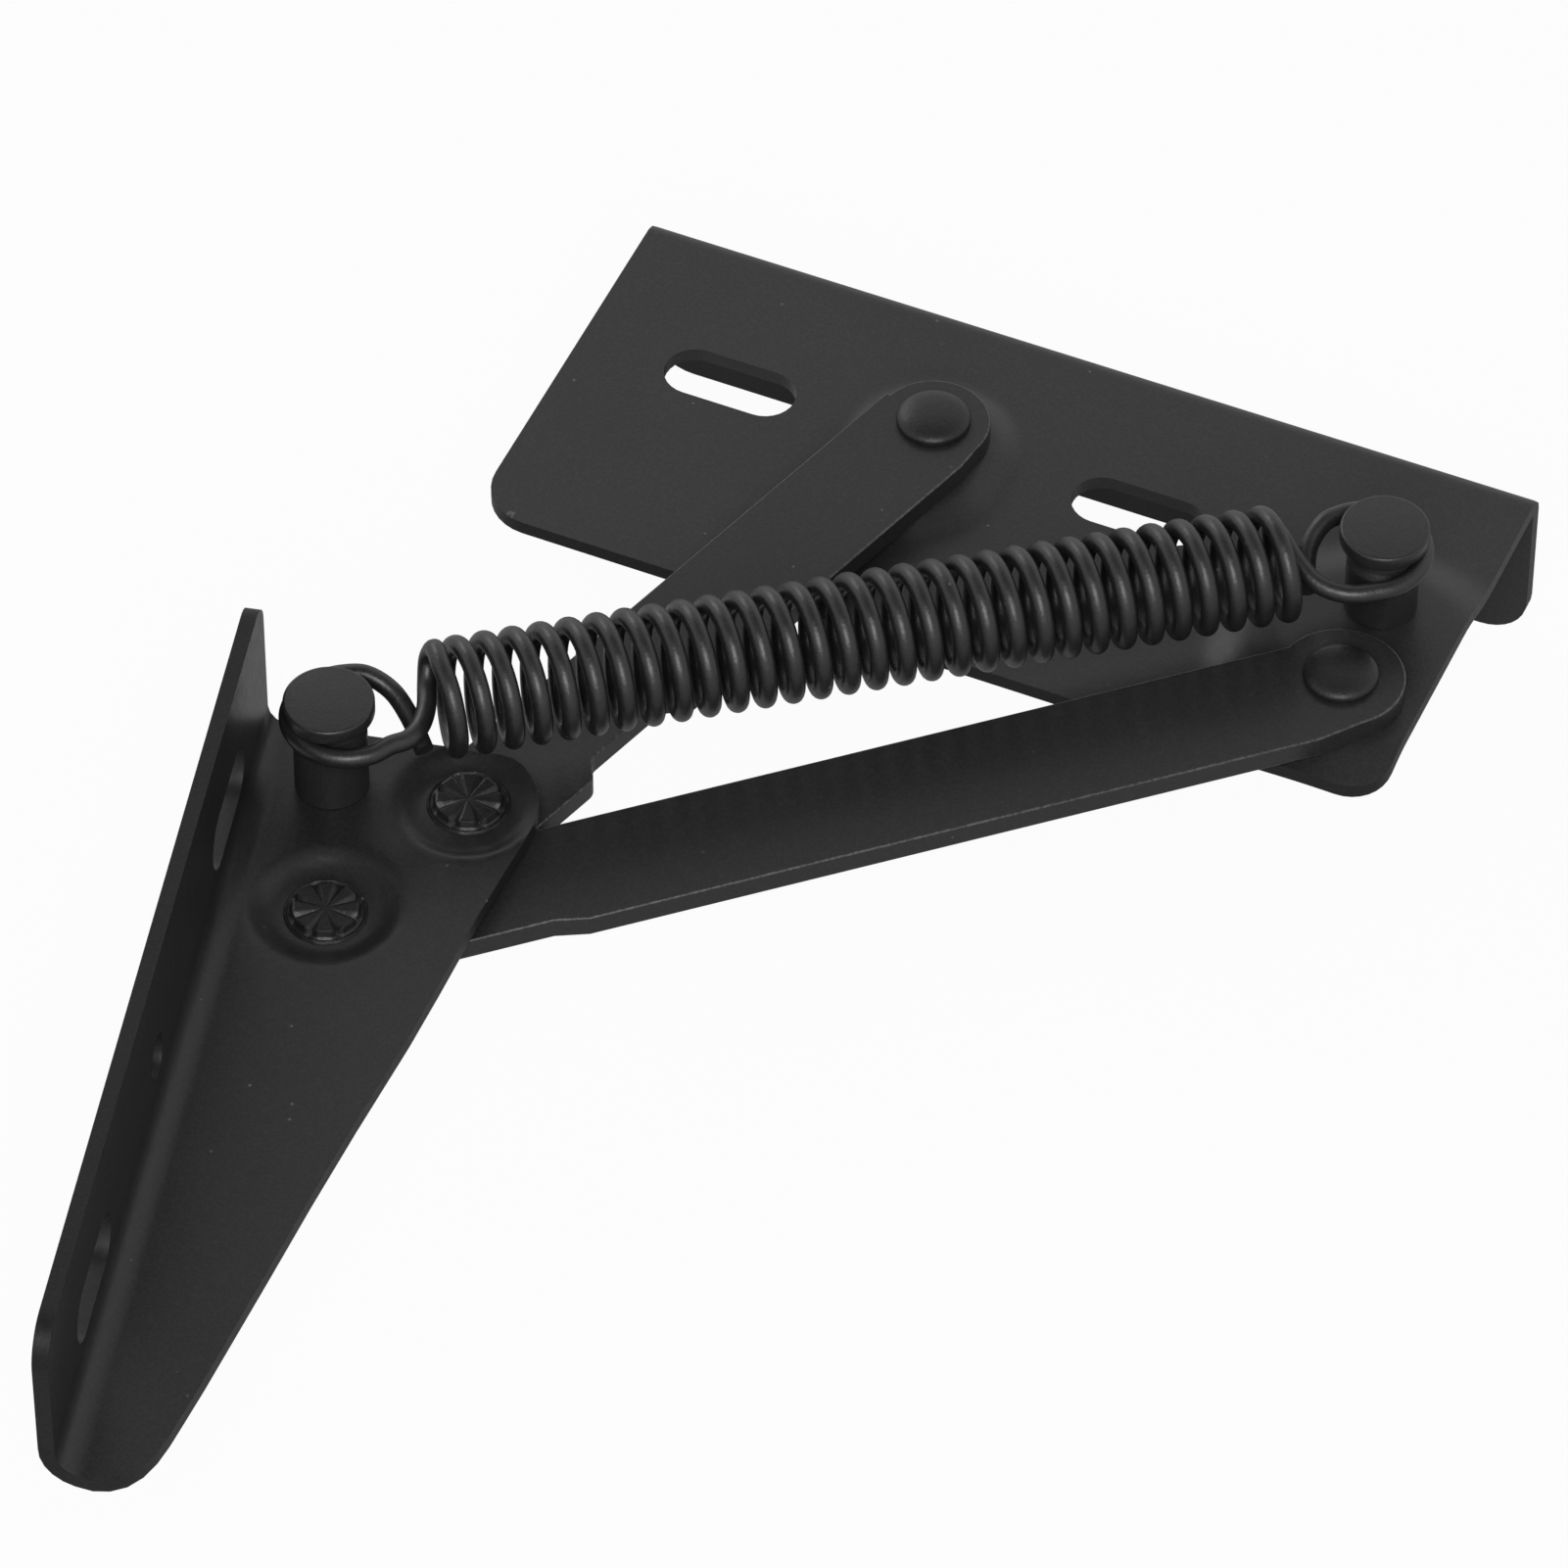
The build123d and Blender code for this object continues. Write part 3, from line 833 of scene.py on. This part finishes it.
def smooth_line(knots, steps):
    """A soft line through its knots, as the wire bends between them."""
    points = [np.array(knot) for knot in knots]
    points = [2 * points[0] - points[1], *points, 2 * points[-1] - points[-2]]
    line = []
    for before, one, two, after in zip(points, points[1:], points[2:], points[3:]):
        span = np.linalg.norm(two - one) ** 0.5
        back = np.linalg.norm(one - before) ** 0.5
        ahead = np.linalg.norm(after - two) ** 0.5
        leave = (one - before) / back - (two - before) / (back + span) + (two - one) / span
        reach = (two - one) / span - (after - one) / (span + ahead) + (after - two) / ahead
        for step in range(steps):
            share = step / steps
            square, cube = share**2, share**3
            line.append(
                (2 * cube - 3 * square + 1) * one
                + (cube - 2 * square + share) * span * leave
                + (3 * square - 2 * cube) * two
                + (cube - square) * span * reach
            )
    line.append(points[-2])
    return line


# the bends between the rings and the coil, each a place for by_ring()
base_tuck = [(6.7, 1.9, -2.1), (6.1, -0.6, -1.8), (5.1, -2.9, -1.0)]
base_rise = [(3.0, 5.65, 0.0), (4.9, 4.75, 0.1), (6.5, 3.3, 0.5), (7.5, 1.4, 1.2), (8.3, -0.7, 2.2)]
base_rise += [(8.8, -2.9, 2.5), (8.6, -4.6, 1.0)]
lid_fall = [(9.6, -2.6, 4.1), (9.1, -3.3, 2.0), (8.5, -1.7, 0.2), (7.7, 1.1, -0.2)]
lid_fall += [(6.4, 3.4, -0.3), (4.9, 4.7, -0.2)]
lid_tuck = [(5.1, -2.9, -1.0), (6.2, -0.2, -2.2), (6.8, 3.6, -3.5)]
first_knot = -round(knots_per_turn * lead_turns)
last_knot = knots_per_turn * coil_turns
wire_knots = [by_ring(base_ring, 1, *place) for place in base_tuck]
wire_knots += ring_knots(base_ring, 1, 80, 300)[::-1]
wire_knots += [by_ring(base_ring, 1, *place) for place in base_rise]
wire_knots += [coil_point(knot / knots_per_turn) for knot in range(first_knot, last_knot + 1)]
wire_knots += [by_ring(lid_ring, -1, *place) for place in lid_fall]
wire_knots += ring_knots(lid_ring, -1, 60, 300)
wire_knots += [by_ring(lid_ring, -1, *place) for place in lid_tuck]
wire_points = smooth_line(wire_knots, steps_per_knot)

wire_mesh = bpy.data.meshes.new("spring_wire_line")
wire_mesh.from_pydata(
    [tuple(point) for point in wire_points],
    [(place, place + 1) for place in range(len(wire_points) - 1)],
    [],
)
wire_object = bpy.data.objects.new("spring_wire_line", wire_mesh)
bpy.context.scene.collection.objects.link(wire_object)

spring_finish = powder_coat(
    "black_coat_spring", 0.009, 0.014, gloss=0.38, grain=0.00007, level=0.45
)
wire_tree = bpy.data.node_groups.new("wire_along_line", "GeometryNodeTree")


def wire_socket(name, kind, way="INPUT"):
    """A named socket of the tree that sweeps the wire."""
    return wire_tree.interface.new_socket(name, in_out=way, socket_type="NodeSocket" + kind)


wire_socket("Geometry", "Geometry")
radius_socket = wire_socket("Wire Radius", "Float")
sides_socket = wire_socket("Wire Sides", "Int")
coat_socket = wire_socket("Coat", "Material")
wire_socket("Geometry", "Geometry", "OUTPUT")
entry = wire_tree.nodes.new("NodeGroupInput")
leave = wire_tree.nodes.new("NodeGroupOutput")
to_curve = wire_tree.nodes.new("GeometryNodeMeshToCurve")
section = wire_tree.nodes.new("GeometryNodeCurvePrimitiveCircle")
sweep = wire_tree.nodes.new("GeometryNodeCurveToMesh")
sweep.inputs["Fill Caps"].default_value = True
shade = wire_tree.nodes.new("GeometryNodeSetShadeSmooth")
whole = wire_tree.nodes.new("GeometryNodeRealizeInstances")
paint = wire_tree.nodes.new("GeometryNodeSetMaterial")
for source, target in (
    (entry.outputs["Geometry"], to_curve.inputs["Mesh"]),
    (entry.outputs["Wire Radius"], section.inputs["Radius"]),
    (entry.outputs["Wire Sides"], section.inputs["Resolution"]),
    (to_curve.outputs["Curve"], sweep.inputs["Curve"]),
    (section.outputs["Curve"], sweep.inputs["Profile Curve"]),
    (sweep.outputs["Mesh"], shade.inputs["Geometry"]),
    (shade.outputs["Geometry"], whole.inputs["Geometry"]),
    (whole.outputs["Geometry"], paint.inputs["Geometry"]),
    (entry.outputs["Coat"], paint.inputs["Material"]),
    (paint.outputs["Geometry"], leave.inputs["Geometry"]),
):
    wire_tree.links.new(source, target)
wound = wire_object.modifiers.new("wire", "NODES")
wound.node_group = wire_tree
wound[radius_socket.identifier] = wire_radius
wound[sides_socket.identifier] = wire_sides
wound[coat_socket.identifier] = spring_finish
bpy.context.view_layer.update()
evaluated = wire_object.evaluated_get(bpy.context.evaluated_depsgraph_get())
spring_mesh = bpy.data.meshes.new_from_object(evaluated)
spring_mesh.name = "pull_spring"
wire_object.modifiers.clear()
bpy.data.objects.remove(wire_object)
spring_piece = bpy.data.objects.new("pull_spring", spring_mesh)
bpy.context.scene.collection.objects.link(spring_piece)
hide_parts("tension_spring")
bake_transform(spring_piece)

# Studio. The hinge lies on a pale floor in a white room with a darker ceiling. One
# soft lamp stands just behind the camera, and a weaker one stands far to the left.
floor_reach = 3.0
floor_gap = 0.3 * MM
floor_level = cad_box[0][2] - floor_gap
floor_mesh = bpy.data.meshes.new("studio_floor")
floor_mesh.from_pydata(
    [
        (-floor_reach, -floor_reach, floor_level),
        (floor_reach, -floor_reach, floor_level),
        (floor_reach, floor_reach, floor_level),
        (-floor_reach, floor_reach, floor_level),
    ],
    [],
    [(0, 1, 2, 3)],
)
floor = bpy.data.objects.new("studio_floor", floor_mesh)
bpy.context.scene.collection.objects.link(floor)


def viewing_rays(finish):
    """Whether the camera, a mirroring surface or a clear one looks at the finish."""
    kinds = ("Is Camera Ray", "Is Glossy Ray", "Is Transmission Ray")
    return [finish.node("ShaderNodeLightPath", output=kind) for kind in kinds]


floor_finish = Finish(bpy.data.materials.new("pale_floor"))
seen, mirrored, through = viewing_rays(floor_finish)
matt = floor_finish.node(
    "ShaderNodeBsdfPrincipled",
    None,
    {"Base Color": (0.45, 0.45, 0.45, 1), "Roughness": 0.9, "Specular IOR Level": 0.0},
)
white = floor_finish.node("ShaderNodeEmission", None, {"Color": (1, 1, 1, 1), "Strength": 1.0})
shown = (seen * 0.96 + mirrored * 0.3 + through * 0.96).clipped()
surface = floor_finish.node("ShaderNodeMixShader", None, {0: shown, 1: matt, 2: white})
floor_finish.node("ShaderNodeOutputMaterial", None, {"Surface": surface})
floor_mesh.materials.append(floor_finish.holder)

world = bpy.data.worlds.new("white_room")
bpy.context.scene.world = world
room = Finish(world)
seen, mirrored, through = viewing_rays(room)
bearing = room.node("ShaderNodeTexCoord", output="Generated")
height = room.node("ShaderNodeSeparateXYZ", None, {"Vector": bearing}, output="Z")
# the walls mirror white, and the ceiling over the lamp is darker
ceiling = room.ramp(height, [(0.76, 1.0), (0.90, 0.22)])
dim = room.node("ShaderNodeBackground", None, {"Strength": 0.45})
bright = room.node("ShaderNodeBackground", None, {"Strength": 1.0})
gleam = room.node("ShaderNodeBackground", None, {"Color": ceiling, "Strength": 1.0})
lit = room.node("ShaderNodeMixShader", None, {0: mirrored, 1: dim, 2: gleam})
shown = room.node("ShaderNodeMixShader", None, {0: (seen + through).clipped(), 1: lit, 2: bright})
room.node("ShaderNodeOutputWorld", None, {"Surface": shown})


lamp_target = Vector((0, -0.05, 0))


def soft_lamp(name, place, side, power):
    """A square soft lamp that faces the middle of the hinge."""
    data = bpy.data.lights.new(name, "AREA")
    data.shape = "SQUARE"
    data.size = side
    data.energy = power
    lamp = bpy.data.objects.new(name, data)
    lamp.location = place
    lamp.rotation_mode = "QUATERNION"
    lamp.rotation_quaternion = (lamp_target - Vector(place)).to_track_quat("-Z", "Y")
    bpy.context.scene.collection.objects.link(lamp)


soft_lamp("lamp_near", (0.36, -0.85, 0.85), 0.6, 10.5)
soft_lamp("lamp_far_left", (-0.75, 0.45, 0.55), 0.4, 1.5)

bpy.context.scene.view_settings.view_transform = "Standard"
